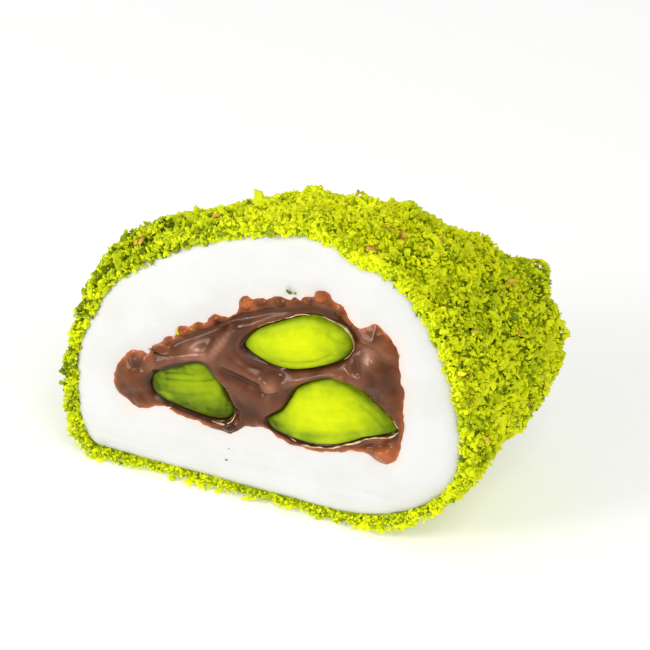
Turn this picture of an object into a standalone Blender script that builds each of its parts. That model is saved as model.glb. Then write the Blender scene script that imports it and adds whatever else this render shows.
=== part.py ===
"""Half of a pistachio-coated Turkish delight, standing on its flat underside.

White whipped nougat is wrapped round a core of chocolate cream with three pistachio kernels
in it, and a coat of crushed pistachio covers everything but the knife cut. The cut is a flat
plane that faces -Y. Metres, +Z up, origin under the middle of the piece.
"""
import math

import bmesh
import bpy

MM = 0.001

# The piece as a whole
PIECE_DEPTH = 28.0 * MM        # from the cut to the back of the coat
COAT_THICKNESS = 1.5 * MM      # layer of crushed pistachio
GAP = 0.3 * MM                 # clearance between neighbouring solids
SETTLE = 0.5 * MM              # how far the soft underside is pressed flat
AXIS_LEAN = 0.20               # sideways drift of the body per metre of depth: the cut is oblique

# How the body closes towards its back
BACK_SQUARENESS = 6.0          # how late the sides turn in
BACK_ROUNDING = 3.4            # how square the back edge is
SIDE_SWELL = 0.04              # extra width at half depth
LEFT_PINCH = 0.15              # how far the underside's left side draws in by the back
RIGHT_PINCH = 0.5              # the same on its right side
TOP_DROP = 0.42                # how far the crown falls towards the back
UNDERSIDE_LIFT = 0.30          # how far the underside rises at the back, late in its depth
WAIST_HEIGHT = 17.5 * MM       # height that the back closes round

# The filling
CREAM_DEPTH = 21.0 * MM
CREAM_TAPER = 0.25             # how much thinner the core is at its back end
KERNEL_DEPTH = 4.2 * MM        # what the knife left of each kernel behind the cut
KERNEL_DOME = 0.6 * MM         # how far a kernel swells out of the cut

# Mesh steps
BODY_POINTS = 44
BODY_STEPS = 9
CREAM_POINTS = 48
CREAM_STEPS = 5
KERNEL_POINTS = 22
KERNEL_STEPS = 8
CUTTER_REACH = 2.0 * MM        # how far a cutter starts in front of the cut

# Outlines in the plane of the cut, in millimetres: x from the middle, z from the nougat's
# underside, running clockwise from the lower left
NOUGAT_OUTLINE = [
    (-21.2, 1.6), (-22.8, 7.0), (-22.5, 14.0), (-19.0, 21.8), (-11.5, 28.0), (-2.5, 32.2),
    (5.0, 33.3), (8.6, 31.7), (12.6, 30.9), (17.6, 26.2), (21.2, 19.0), (23.0, 10.5),
    (20.2, 4.9), (13.0, 1.0), (0.0, 0.0), (-16.5, 0.0),
]
CREAM_OUTLINE = [
    (-16.0, 6.6), (-18.2, 10.2), (-16.6, 14.2), (-12.0, 17.4), (-7.0, 21.2), (-3.4, 24.9),
    (1.8, 26.0), (5.6, 27.8), (9.6, 25.0), (13.6, 24.4), (16.0, 20.0), (17.2, 13.6),
    (15.6, 9.0), (7.5, 7.2), (0.0, 7.8), (-5.0, 6.4),
]
KERNEL_OUTLINES = {
    "pistachio_top": [
        (-3.3, 18.2), (-1.2, 21.6), (2.7, 23.7), (6.5, 23.7), (9.3, 21.3), (7.4, 18.4),
        (2.6, 16.7), (-1.6, 16.9),
    ],
    "pistachio_right": [
        (0.4, 9.7), (2.6, 13.2), (5.0, 16.2), (7.6, 17.2), (13.0, 15.2), (15.7, 12.9),
        (12.5, 10.5), (7.0, 8.5), (2.4, 8.5),
    ],
    "pistachio_left": [
        (-13.6, 10.3), (-12.2, 12.9), (-9.9, 14.7), (-7.5, 15.3), (-5.6, 13.2), (-3.7, 9.7),
        (-4.6, 8.2), (-8.0, 7.8), (-11.8, 8.5),
    ],
}

COLOURS = {
    "crushed_pistachio": ((0.40, 0.52, 0.02, 1.0), 0.85),
    "whipped_nougat": ((0.90, 0.90, 0.87, 1.0), 0.60),
    "chocolate_cream": ((0.16, 0.055, 0.025, 1.0), 0.25),
    "pistachio_kernel": ((0.55, 0.68, 0.02, 1.0), 0.45),
}


def smooth_outline(corners, count):
    """Return count points in metres, evenly spread along a smooth closed curve through corners."""
    points = []
    for step in range(count):
        place = step / count * len(corners)
        index = int(place)
        t = place - index
        before, start, end, after = (corners[(index + k) % len(corners)] for k in (-1, 0, 1, 2))
        point = []
        for a, b, c, d in zip(before, start, end, after):
            value = b + 0.5 * t * (c - a + t * (2 * a - 5 * b + 4 * c - d + t * (3 * b - a - 3 * c + d)))
            point.append(value * MM)
        points.append(point)
    return points


def grown(outline, distance):
    """Move each point of a clockwise outline outwards by distance."""
    result = []
    for index, (x, z) in enumerate(outline):
        last_x, last_z = outline[index - 1]
        next_x, next_z = outline[(index + 1) % len(outline)]
        along_x, along_z = next_x - last_x, next_z - last_z
        length = math.hypot(along_x, along_z)
        result.append((x - along_z / length * distance, z + along_x / length * distance))
    return result


def loft(name, rings):
    """Skin a closed mesh over rings of equal count, front to back, with a flat cap at each end."""
    mesh = bpy.data.meshes.new(name)
    shape = bmesh.new()
    loops = [[shape.verts.new(point) for point in ring] for ring in rings]
    for front, back in zip(loops, loops[1:]):
        for index in range(len(front)):
            following = (index + 1) % len(front)
            shape.faces.new((front[index], front[following], back[following], back[index]))
    shape.faces.new(reversed(loops[0]))
    shape.faces.new(loops[-1])
    bmesh.ops.recalc_face_normals(shape, faces=shape.faces)
    shape.to_mesh(mesh)
    shape.free()
    return bpy.data.objects.new(name, mesh)


def depth_steps(count):
    """Return fractions of the depth from 0 to nearly 1, closer together towards the back."""
    return [1.0 - (1.0 - step / count) ** 2.2 for step in range(count)] + [0.9995]


def pinched(x, height, fraction):
    """Draw a low point in towards the middle, more so towards the back, where the loaf is round."""
    low = min(max((1.0 - height / WAIST_HEIGHT) / 0.9, 0.0), 1.0)
    share = RIGHT_PINCH if x > 0.0 else LEFT_PINCH
    return x * (1.0 - share * fraction * low * low * (3.0 - 2.0 * low))


def body(name, inset, reach=0.0):
    """Make the loaf-shaped body, inset from the coat's outer surface all round but at the cut.

    With reach it also starts that far in front of the cut, as a cutter does."""
    outline = grown(smooth_outline(NOUGAT_OUTLINE, BODY_POINTS), COAT_THICKNESS + GAP - inset)
    depth = PIECE_DEPTH - inset
    lift = COAT_THICKNESS + GAP - SETTLE
    rings = [[(x, -reach, max(z + lift, inset)) for x, z in outline]] if reach else []
    for f in depth_steps(BODY_STEPS):
        closing = (1.0 - f ** BACK_SQUARENESS) ** (1.0 / BACK_ROUNDING)
        wide = closing * (1.0 + 4.0 * SIDE_SWELL * f * (1.0 - f))
        above = closing * (1.0 - TOP_DROP * f * f)
        below = closing * (1.0 - UNDERSIDE_LIFT * f ** 4)
        ring = []
        for x, z in outline:
            rise = z + lift - WAIST_HEIGHT
            height = WAIST_HEIGHT + rise * (above if rise > 0.0 else below)
            across = pinched(x, z + lift, f) * wide + AXIS_LEAN * depth * f
            ring.append((across, depth * f, max(height, inset)))
        rings.append(ring)
    return loft(name, rings)


def core(name, growth, reach=0.0):
    """Make the chocolate cream's core, grown by a clearance where it serves as a cutter."""
    outline = grown(smooth_outline(CREAM_OUTLINE, CREAM_POINTS), growth)
    lift = COAT_THICKNESS + GAP - SETTLE
    middle = WAIST_HEIGHT - lift
    depth = CREAM_DEPTH + growth
    rings = [[(x, -reach, z + lift) for x, z in outline]] if reach else []
    for f in depth_steps(CREAM_STEPS):
        closing = (1.0 - f ** BACK_SQUARENESS) ** (1.0 / BACK_ROUNDING) * (1.0 - CREAM_TAPER * f * f)
        drift = AXIS_LEAN * depth * f
        rings.append([(x * closing + drift, depth * f, middle + (z - middle) * closing + lift)
                      for x, z in outline])
    return loft(name, rings)


def kernel(name, growth):
    """Make one cut kernel: a low dome in front of the cut and a deep rounded back behind it."""
    outline = grown(smooth_outline(KERNEL_OUTLINES[name], KERNEL_POINTS), growth)
    lift = COAT_THICKNESS + GAP - SETTLE
    mid_x = sum(x for x, z in outline) / len(outline)
    mid_z = sum(z for x, z in outline) / len(outline)
    rings = []
    for step in range(KERNEL_STEPS + 1):
        angle = math.pi * (0.06 + 0.88 * step / KERNEL_STEPS)
        size = math.sin(angle) ** 0.55
        reach = (KERNEL_DOME if angle < math.pi / 2 else KERNEL_DEPTH) + growth
        y = -math.cos(angle) * reach
        rings.append([(mid_x + (x - mid_x) * size, y, mid_z + (z - mid_z) * size + lift)
                      for x, z in outline])
    return loft(name, rings)


def make_material(name):
    """Return the named material, made on first use."""
    material = bpy.data.materials.get(name)
    if material is None:
        colour, roughness = COLOURS[name]
        material = bpy.data.materials.new(name)
        material.use_nodes = True
        shader = material.node_tree.nodes["Principled BSDF"]
        shader.inputs["Base Color"].default_value = colour
        shader.inputs["Roughness"].default_value = roughness
        shader.inputs["Metallic"].default_value = 0.0
        material.diffuse_color = colour
    return material


def add_piece(piece, material, collection, parent):
    """Put a piece in its collection, under the piece's empty, smooth but for its cut edges."""
    collection.objects.link(piece)
    piece.parent = parent
    piece.data.materials.append(make_material(material))
    piece.data.shade_smooth()
    piece.data.set_sharp_from_angle(angle=math.radians(40.0))
    return piece


def cut_with(piece, cutter, collection, parent):
    """Cut a cutter's shape out of a piece and keep the cutter as a hidden wire guide."""
    collection.objects.link(cutter)
    cutter.parent = parent
    cutter.hide_render = True
    cutter.display_type = "WIRE"
    hollow = piece.modifiers.new(cutter.name, "BOOLEAN")
    hollow.operation = "DIFFERENCE"
    hollow.solver = "EXACT"
    hollow.object = cutter


def new_collection(name):
    collection = bpy.data.collections.new(name)
    bpy.context.scene.collection.children.link(collection)
    return collection


def side_middle(piece):
    """Return the x half-way between a piece's leftmost and rightmost points."""
    xs = [vertex.co.x for vertex in piece.data.vertices]
    return (min(xs) + max(xs)) / 2.0


def main():
    for old in list(bpy.data.objects):
        bpy.data.objects.remove(old, do_unlink=True)
    pieces = new_collection("turkish_delight")
    cutters = new_collection("cutters")

    coat = body("pistachio_coat", 0.0)
    centre = bpy.data.objects.new("turkish_delight_centre", None)
    centre.location = (-side_middle(coat), -(PIECE_DEPTH - KERNEL_DOME) / 2.0, 0.0)
    pieces.objects.link(centre)

    add_piece(coat, "crushed_pistachio", pieces, centre)
    cut_with(coat, body("nougat_space", COAT_THICKNESS, CUTTER_REACH), cutters, centre)

    nougat = add_piece(body("nougat", COAT_THICKNESS + GAP), "whipped_nougat", pieces, centre)
    cut_with(nougat, core("cream_channel", GAP, CUTTER_REACH), cutters, centre)

    cream = add_piece(core("chocolate_cream", 0.0), "chocolate_cream", pieces, centre)
    for name in KERNEL_OUTLINES:
        add_piece(kernel(name, 0.0), "pistachio_kernel", pieces, centre)
        pocket = kernel(name, GAP)
        pocket.name = name + "_pocket"
        cut_with(cream, pocket, cutters, centre)


main()
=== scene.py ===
import math

import bmesh
import bpy
import numpy as np
from bpy.props import FloatProperty, FloatVectorProperty, IntProperty, PointerProperty
from mathutils import Matrix, Vector, noise


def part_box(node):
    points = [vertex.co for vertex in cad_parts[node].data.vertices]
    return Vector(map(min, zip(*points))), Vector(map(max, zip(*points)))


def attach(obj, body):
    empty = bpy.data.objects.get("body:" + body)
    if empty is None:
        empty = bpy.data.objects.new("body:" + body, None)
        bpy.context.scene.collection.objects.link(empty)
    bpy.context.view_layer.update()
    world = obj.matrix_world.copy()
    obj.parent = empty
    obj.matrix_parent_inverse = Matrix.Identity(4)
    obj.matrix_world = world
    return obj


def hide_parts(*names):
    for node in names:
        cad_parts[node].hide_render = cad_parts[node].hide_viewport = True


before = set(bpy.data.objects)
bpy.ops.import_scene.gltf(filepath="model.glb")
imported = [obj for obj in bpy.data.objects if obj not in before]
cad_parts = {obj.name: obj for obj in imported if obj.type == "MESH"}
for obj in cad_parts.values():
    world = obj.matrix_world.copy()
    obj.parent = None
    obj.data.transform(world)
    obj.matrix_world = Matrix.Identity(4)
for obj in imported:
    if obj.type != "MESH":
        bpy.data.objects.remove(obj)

bl_info = {
    "name": "Pistachio Turkish Delight",
    "version": (1, 0, 0),
    "blender": (4, 5, 0),
    "location": "View3D > Sidebar > Turkish Delight",
    "description": "Finishes a cut piece of Turkish delight: nougat, chocolate cream and pistachio",
    "category": "Add Mesh",
}

# Every length here is in millimetres unless its comment says otherwise. The cut faces -Y, and
# "face" coordinates lie in its plane: x from the loaf's middle, z from the nougat's underside.
MM = 0.001                     # metres in a millimetre

# The loaf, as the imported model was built
LOAF_DEPTH = 28.0              # from the cut to the back of the coat
COAT_THICKNESS = 1.5
CLEARANCE = 0.3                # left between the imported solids
SETTLE = 0.5                   # how far the soft underside is pressed flat
AXIS_LEAN = 0.20               # sideways drift per millimetre of depth: the cut is oblique
BACK_SQUARENESS = 6.0          # how late the sides turn in
BACK_ROUNDING = 3.4            # how square the back edge is
SIDE_SWELL = 0.04              # extra width at half depth
LEFT_PINCH = 0.15              # how far the underside's left side draws in by the back
RIGHT_PINCH = 0.5              # the same on its right side
TOP_DROP = 0.42                # how far the crown falls towards the back
UNDERSIDE_LIFT = 0.30          # how far the underside rises at the back
WAIST_HEIGHT = 17.5            # height that the back closes round
CREAM_DEPTH = 21.0
KERNEL_DEPTH = 4.2

# Outlines on the cut, clockwise
NOUGAT_OUTLINE = [
    (-21.2, 1.6), (-22.8, 7.0), (-22.5, 14.0), (-19.0, 21.8), (-11.5, 28.0), (-2.5, 32.2),
    (5.0, 33.3), (8.6, 31.7), (12.6, 30.9), (17.6, 26.2), (21.2, 19.0), (23.0, 10.5),
    (20.2, 4.9), (13.0, 1.0), (0.0, 0.0), (-16.5, 0.0),
]
CREAM_OUTLINE = [
    (-16.0, 6.6), (-18.2, 10.2), (-16.6, 14.2), (-12.0, 17.4), (-7.0, 21.2), (-3.4, 24.9),
    (1.8, 26.0), (5.6, 27.8), (9.6, 25.0), (13.6, 24.4), (16.0, 20.0), (17.2, 13.6),
    (15.6, 9.0), (7.5, 7.2), (0.0, 7.8), (-5.0, 6.4),
]
# Where the squeezed cream ends against the nougat
CREAM_EDGE = [
    (-17.9, 10.7), (-16.9, 13.0), (-15.6, 14.1), (-14.3, 14.0), (-12.9, 15.4), (-11.2, 17.1),
    (-9.6, 18.5), (-7.4, 19.8), (-6.2, 21.0), (-4.6, 22.0), (-3.7, 23.9), (-1.5, 24.7),
    (0.9, 25.4), (3.2, 25.9), (5.3, 27.0), (7.3, 25.8), (9.7, 24.1), (11.5, 24.7),
    (13.2, 24.1), (14.8, 22.8), (15.4, 20.0), (15.9, 16.6), (16.1, 13.5), (15.9, 10.9),
    (14.9, 8.6), (12.4, 9.2), (10.2, 8.8), (7.1, 7.8), (4.4, 7.7), (2.2, 8.0), (-0.1, 8.9),
    (-2.6, 8.0), (-3.6, 7.2), (-5.2, 7.1), (-7.0, 7.4), (-9.8, 7.7), (-12.4, 8.1),
    (-14.4, 7.2), (-16.1, 7.4), (-17.3, 8.8),
]
# Blobs of cream along that edge: x, z, radius, height
CREAM_BLOBS = [
    (5.2, 26.7, 0.85, 0.85), (-3.2, 23.6, 0.85, 0.60), (-1.3, 24.3, 0.50, 0.25),
    (0.6, 24.8, 0.60, 0.30), (2.4, 25.5, 0.50, 0.35), (3.6, 25.8, 0.60, 0.40),
    (7.4, 25.3, 0.55, 0.30), (-6.9, 20.4, 0.70, 0.40), (-8.7, 19.1, 0.50, 0.15),
    (-10.4, 18.0, 0.70, 0.35), (-12.1, 16.4, 0.50, 0.25),
    (-13.2, 14.8, 0.5, 0.30), (-15.7, 13.2, 0.9, 0.50), (-15.8, 10.8, 2.3, 0.70),
    (-14.8, 8.3, 0.95, 0.40), (-17.0, 9.2, 0.8, 0.20), (14.2, 9.8, 1.3, 0.60),
    (-4.0, 7.8, 0.8, 0.30), (11.9, 23.6, 1.1, 0.35), (12.0, 19.2, 3.0, 1.25),
    (14.4, 16.6, 1.5, 0.50),
]
# Folds in the cream: width and height of a ridge, and the line it follows
CREAM_FOLDS = [
    (0.90, 0.62, [(-12.2, 13.5), (-11.0, 14.3), (-9.4, 14.9), (-7.9, 15.3), (-6.7, 15.1),
                  (-5.8, 14.3)]),
    (2.40, 0.95, [(-12.2, 13.0), (-9.4, 14.6), (-6.6, 15.4), (-4.2, 17.0)]),
    (0.70, 0.80, [(-6.6, 16.2), (-5.8, 17.8), (-4.6, 19.8)]),
    (0.90, 0.55, [(-4.4, 16.0), (-3.2, 15.6), (-1.4, 15.0), (0.7, 14.7)]),
    (1.20, 0.50, [(-4.3, 13.6), (-2.6, 12.6), (-0.9, 12.0), (0.3, 11.8)]),
    (0.60, 0.55, [(0.2, 14.2), (2.3, 15.3), (4.1, 16.1), (5.9, 16.9), (7.4, 17.5),
                  (8.9, 18.1)]),
    (0.60, 0.45, [(-0.3, 14.1), (1.3, 14.3)]),
    (0.60, 0.40, [(0.1, 15.2), (0.3, 14.2), (0.5, 13.0)]),
    (0.80, 0.45, [(9.2, 18.0), (10.9, 17.8)]),
    (0.75, 0.55, [(10.8, 23.0), (12.2, 22.8), (13.8, 21.9)]),
]
# Hollows between them, in the same form
CREAM_HOLLOWS = [
    (0.65, 0.50, [(-11.2, 16.2), (-10.4, 16.9), (-9.2, 17.8), (-7.4, 19.0), (-5.7, 20.1),
                  (-4.4, 21.3), (-2.9, 22.0), (-0.9, 23.0), (1.0, 23.8), (2.9, 24.5),
                  (4.7, 24.9), (6.6, 24.8), (8.3, 23.9), (9.6, 22.6)]),
    (0.60, 0.45, [(-5.2, 15.2), (-3.2, 14.5), (-1.6, 14.0), (-0.2, 13.7)]),
    (0.60, 0.40, [(-4.0, 19.6), (-4.1, 18.2), (-2.8, 17.0), (-0.8, 16.2), (1.4, 16.1)]),
    (0.50, 0.45, [(-3.1, 9.8), (-3.2, 8.9)]),
    (0.60, 0.45, [(10.2, 21.4), (10.3, 20.2), (10.6, 19.2)]),
    (0.45, 0.50, [(15.6, 12.0), (14.4, 10.8), (12.8, 10.1), (11.3, 9.3)]),
]
# Where the cream is smeared so thin that the nougat warms it: x, z, radius, share
CREAM_SMEARS = [
    (-16.6, 11.2, 1.8, 0.25), (-14.9, 7.8, 1.1, 0.25), (14.4, 9.6, 1.7, 1.00),
    (12.6, 9.2, 1.0, 0.50), (14.0, 23.4, 1.2, 0.45), (-3.0, 23.6, 0.9, 1.00),
    (5.3, 26.9, 0.9, 0.85), (1.5, 25.4, 0.9, 0.55), (-7.2, 20.1, 0.7, 0.70),
    (8.6, 24.8, 0.7, 0.60), (-1.6, 8.4, 0.7, 0.50), (-10.2, 18.1, 0.7, 0.60),
]
# Where painted shade makes the cream darkest, in the same form
CREAM_SHADES = [
    (13.9, 18.6, 1.5, 0.45), (14.6, 13.4, 1.2, 0.40), (-4.2, 21.0, 0.8, 0.45),
    (-3.7, 7.6, 1.4, 1.00), (-2.5, 8.5, 1.1, 0.80), (-15.6, 12.7, 0.6, 0.80), (-13.9, 9.4, 1.2, 0.50),
    (10.4, 20.2, 0.9, 0.45), (2.2, 24.5, 1.1, 0.35), (-12.9, 14.7, 0.7, 0.45),
    (9.4, 23.6, 0.9, 0.50), (-1.4, 10.4, 2.2, 0.80), (14.8, 17.6, 1.2, 0.35),
    (15.2, 21.4, 0.5, 0.50), (1.0, 24.7, 0.4, 0.60), (-6.3, 20.4, 0.5, 0.50),
    (3.0, 25.3, 0.35, 0.70), (4.2, 26.0, 0.35, 0.70), (-1.9, 23.8, 0.35, 0.60),
    (6.4, 26.1, 0.40, 0.50), (12.9, 16.2, 1.3, 0.35), (-9.4, 18.3, 0.4, 0.50),
    (-4.2, 16.6, 1.3, 0.40), (-15.4, 8.6, 1.4, 0.65), (-4.9, 15.0, 1.2, 0.35),
]

# Where a sheen is painted on the cream as a paler colour, in the same form
CREAM_PAINTED_SHEENS = [
    (11.4, 21.3, 1.2, 0.90), (-8.6, 16.4, 1.3, 0.80), (-9.8, 16.9, 1.1, 0.60),
    (0.8, 14.6, 0.9, 1.00), (-6.4, 16.6, 0.6, 0.80), (-6.1, 17.2, 0.6, 0.95),
    (-5.8, 17.8, 0.6, 1.00), (-5.45, 18.4, 0.6, 0.95), (-5.1, 19.0, 0.6, 0.80),
    (-7.4, 16.2, 0.9, 0.85), (-1.6, 12.8, 1.8, 0.20),
    (4.3, 26.5, 0.6, 1.00), (-15.2, 14.1, 0.6, 1.00), (-9.4, 15.1, 1.1, 0.85),
    (-7.8, 15.4, 0.9, 0.85), (4.6, 16.6, 1.2, 0.40), (12.6, 22.9, 0.8, 0.50),
    (7.0, 17.5, 1.0, 0.35),
]

KERNEL_OUTLINES = {
    "pistachio_top": [
        (-3.3, 18.6), (-2.4, 20.1), (-1.3, 21.1), (0.6, 22.3), (2.8, 23.6), (5.0, 24.2),
        (7.4, 23.8), (8.8, 22.9), (9.4, 21.8), (9.1, 20.5), (8.0, 19.3), (6.2, 18.2),
        (4.2, 17.3), (2.4, 16.8), (0.3, 16.8), (-1.5, 17.3), (-2.8, 17.9),
    ],
    "pistachio_right": [
        (0.3, 9.7), (0.9, 10.7), (2.0, 11.6), (2.8, 13.2), (3.7, 15.0), (5.4, 16.4),
        (7.3, 17.3), (9.1, 17.1), (11.0, 16.3), (13.4, 15.0), (15.0, 13.7), (15.4, 12.6),
        (13.9, 11.7), (12.1, 10.9), (10.2, 9.7), (8.2, 8.8), (6.0, 8.3), (4.3, 8.3),
        (2.7, 8.5), (1.1, 8.8),
    ],
    "pistachio_left": [
        (-13.7, 10.2), (-13.6, 11.6), (-13.0, 12.7), (-11.7, 13.7), (-10.1, 14.6),
        (-8.5, 15.3), (-7.3, 15.5), (-6.4, 14.9), (-5.5, 13.5), (-4.5, 11.7), (-3.6, 10.0),
        (-3.8, 8.7), (-5.1, 8.0), (-7.0, 7.9), (-9.3, 8.2), (-11.6, 8.6), (-13.0, 9.2),
    ],
}


def smooth_loop(corners, count):
    """Return count points along a smooth closed curve through corners."""
    corners = np.array(corners, float)
    place = np.arange(count) / count * len(corners)
    index = place.astype(int)
    t = (place - index)[:, None]
    a, b, c, d = (corners[(index + step) % len(corners)] for step in (-1, 0, 1, 2))
    return b + 0.5 * t * (c - a + t * (2 * a - 5 * b + 4 * c - d + t * (3 * b - a - 3 * c + d)))


def smooth_line(corners, count):
    """Return count points along a smooth open curve through corners."""
    corners = np.array(corners, float)
    ends = 2.0 * corners[[0, -1]] - corners[[1, -2]]
    padded = np.vstack([ends[:1], corners, ends[1:]])
    place = np.linspace(0.0, len(corners) - 1.0, count)
    index = np.minimum(place.astype(int), len(corners) - 2)
    t = (place - index)[:, None]
    a, b, c, d = (padded[index + step] for step in range(4))
    return b + 0.5 * t * (c - a + t * (2 * a - 5 * b + 4 * c - d + t * (3 * b - a - 3 * c + d)))


def face_origin():
    """Return where the face coordinates' zero lies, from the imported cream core's front corner."""
    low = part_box("chocolate_cream")[0]
    left, bottom = smooth_loop(CREAM_OUTLINE, 480).min(axis=0)
    return np.array([low.x / MM - left, low.y / MM, low.z / MM - bottom])


ORIGIN = face_origin()


def on_face(points, proud=0.0):
    """Return face points as places in the model's frame, a distance proud of the cut."""
    points = np.asarray(points, float)
    depth = np.broadcast_to(-np.asarray(proud, float), points.shape[:-1])
    return np.stack([points[..., 0], depth, points[..., 1]], axis=-1) + ORIGIN


def grown(outline, distance):
    """Move each point of a clockwise outline outwards by distance."""
    along = np.roll(outline, -1, axis=0) - np.roll(outline, 1, axis=0)
    outwards = np.stack([-along[:, 1], along[:, 0]], axis=1)
    return outline + outwards / np.hypot(*along.T)[:, None] * distance


def distance_to_line(points, line):
    """Return each point's distance to a line through given corners."""
    nearest = np.full(len(points), np.inf)
    for start, end in zip(line[:-1], line[1:]):
        along = end - start
        reach = np.clip((points - start) @ along / (along @ along), 0.0, 1.0)
        nearest = np.minimum(nearest, np.hypot(*(points - start - reach[:, None] * along).T))
    return nearest


def distance_outside(points, outline):
    """Return each point's distance to a closed outline, negative inside it."""
    loop = np.vstack([outline, outline[:1]])
    inside = np.zeros(len(points), bool)
    for (x1, z1), (x2, z2) in zip(loop[:-1], loop[1:]):
        spans = (z1 > points[:, 1]) != (z2 > points[:, 1])
        if spans.any():
            crossing = x1 + (points[:, 1] - z1) / (z2 - z1) * (x2 - x1)
            inside ^= spans & (points[:, 0] < crossing)
    away = distance_to_line(points, loop)
    return np.where(inside, -away, away)


def lumps(points, size, seed):
    """Return smooth noise from -1 to 1 at each point, its lumps about size across."""
    shift = Vector((seed * 17.3, seed * 5.1, seed * 9.7))
    scaled = points / size
    if scaled.shape[1] == 2:
        scaled = np.column_stack([scaled, np.zeros(len(scaled))])
    return np.array([noise.noise(Vector(place) + shift) for place in scaled])


def eased(value, low, high):
    """Return 0 below low and 1 above high, with a smooth rise between them."""
    t = np.clip((value - low) / (high - low), 0.0, 1.0)
    return t * t * (3.0 - 2.0 * t)


def loaf_rings(inset, fractions, count):
    """Return rings of the loaf, inset from the coat's outside, at fractions of its depth."""
    outline = grown(smooth_loop(NOUGAT_OUTLINE, count), COAT_THICKNESS + CLEARANCE - inset)
    x, z = outline.T
    f = np.asarray(fractions, float)[:, None]
    closing = (1.0 - f ** BACK_SQUARENESS) ** (1.0 / BACK_ROUNDING)
    low = eased(WAIST_HEIGHT - z - ORIGIN[2], 0.0, 0.9 * WAIST_HEIGHT)
    drawn_in = 1.0 - np.where(x > 0.0, RIGHT_PINCH, LEFT_PINCH) * f * low
    wide = drawn_in * closing * (1.0 + 4.0 * SIDE_SWELL * f * (1.0 - f))
    above = closing * (1.0 - TOP_DROP * f * f)
    below = closing * (1.0 - UNDERSIDE_LIFT * f ** 4)
    rise = z + ORIGIN[2] - WAIST_HEIGHT
    height = WAIST_HEIGHT + rise * np.where(rise > 0.0, above, below)
    depth = (LOAF_DEPTH - inset) * f
    across = x * wide + AXIS_LEAN * depth + ORIGIN[0]
    depth = depth + ORIGIN[1] + np.zeros_like(across)
    return np.stack([across, depth, np.maximum(height, inset)], axis=-1)


def ring_fractions(first, count):
    """Return fractions of the depth for rings evenly apart, along the flank and round the back."""
    swing = np.linspace(math.asin(first ** (BACK_SQUARENESS / 2.0)), 0.5 * math.pi, 4000)
    along = LOAF_DEPTH * np.sin(swing) ** (2.0 / BACK_SQUARENESS)
    inwards = WAIST_HEIGHT * np.maximum(np.cos(swing), 0.0) ** (2.0 / BACK_ROUNDING)
    way = np.cumsum(np.hypot(np.gradient(along), np.gradient(inwards)))
    way = (way - way[0]) / (way[-1] - way[0])
    return np.sin(np.interp(np.arange(count) / count, way, swing)) ** (2.0 / BACK_SQUARENESS)


def quads_between(rings, count, first=0, closed=True):
    """Return the quads that join rings of count points each, the first point having that number."""
    spokes = np.arange(count if closed else count - 1)
    near = first + np.arange(rings - 1)[:, None] * count + spokes
    beside = first + np.arange(rings - 1)[:, None] * count + (spokes + 1) % count
    return np.stack([near, beside, beside + count, near + count], axis=-1).reshape(-1, 4)


def strip_map(rings, count, low, high, closed=True):
    """Return the corners' places on the bake map of quads_between's quads, in a strip."""
    spokes = np.arange(count if closed else count - 1)
    u0, v0 = np.meshgrid(spokes, np.arange(rings - 1))
    u = np.stack([u0, u0 + 1, u0 + 1, u0], axis=-1) / (count if closed else count - 1)
    v = np.stack([v0, v0, v0 + 1, v0 + 1], axis=-1) / (rings - 1)
    return np.stack([u, low + (high - low) * v], axis=-1).reshape(-1, 4, 2)


def face_map(corners, low=0.0):
    """Return places on the bake map for corners seen square to the cut, above a low margin."""
    flat = corners[..., [0, 2]]
    flat = (flat - flat.reshape(-1, 2).min(axis=0)) / np.ptp(flat.reshape(-1, 2), axis=0)
    return np.stack([flat[..., 0], low + (1.0 - low) * flat[..., 1]], axis=-1)


def make_piece(name, points, faces, places, material, slot, smooth=True, **attributes):
    """Make one piece from millimetre points, with its bake map, and let it ride on the food."""
    mesh = bpy.data.meshes.new(name)
    faces = [np.asarray(group) for group in faces]
    corners = np.concatenate([group.ravel() for group in faces])
    sizes = np.concatenate([np.full(len(group), group.shape[1]) for group in faces])
    mesh.vertices.add(len(points))
    mesh.vertices.foreach_set("co", (np.asarray(points) * MM).astype(np.float32).ravel())
    mesh.loops.add(len(corners))
    mesh.loops.foreach_set("vertex_index", corners.astype(np.int32))
    mesh.polygons.add(len(sizes))
    starts = np.concatenate([[0], np.cumsum(sizes)[:-1]])
    mesh.polygons.foreach_set("loop_start", starts.astype(np.int32))
    mesh.update(calc_edges=True)
    baked = mesh.uv_layers.new(name="OFBake")
    places = np.concatenate([np.asarray(group).reshape(-1, 2) for group in places])
    baked.uv.foreach_set("vector", places.astype(np.float32).ravel())
    for title, values in attributes.items():
        values = np.asarray(values, np.float32)
        kind = "FLOAT" if values.ndim == 1 else "FLOAT_VECTOR"
        layer = mesh.attributes.new(title, kind, "POINT")
        layer.data.foreach_set("value" if kind == "FLOAT" else "vector", values.ravel())
    mesh.validate()
    if smooth:
        mesh.shade_smooth()
    else:
        mesh.shade_flat()
    mesh.materials.append(material)
    piece = bpy.data.objects.new(name, mesh)
    bpy.context.scene.collection.objects.link(piece)
    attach(piece, "root")
    return piece


def outline_reach(outline, centre):
    """Return a function that gives an outline's distance from centre in any direction."""
    x, z = (outline - centre).T
    angles = np.arctan2(z, x)
    order = np.argsort(angles)
    reach = np.hypot(x, z)[order]
    angles = angles[order]

    def reach_at(angle):
        return np.interp(angle, angles, reach, period=2.0 * math.pi)

    return reach_at


def filled(outline, centre, count):
    """Return a square grid of points bent to fill an outline, and how far out each lies."""
    line = np.linspace(-1.0, 1.0, count)
    a, b = np.meshgrid(line, line, indexing="ij")
    x, z = a * np.sqrt(1.0 - b * b / 2.0), b * np.sqrt(1.0 - a * a / 2.0)
    reach = outline_reach(outline, centre)(np.arctan2(z, x))
    return np.stack([x * reach, z * reach], axis=-1) + centre, np.hypot(x, z)


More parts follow.
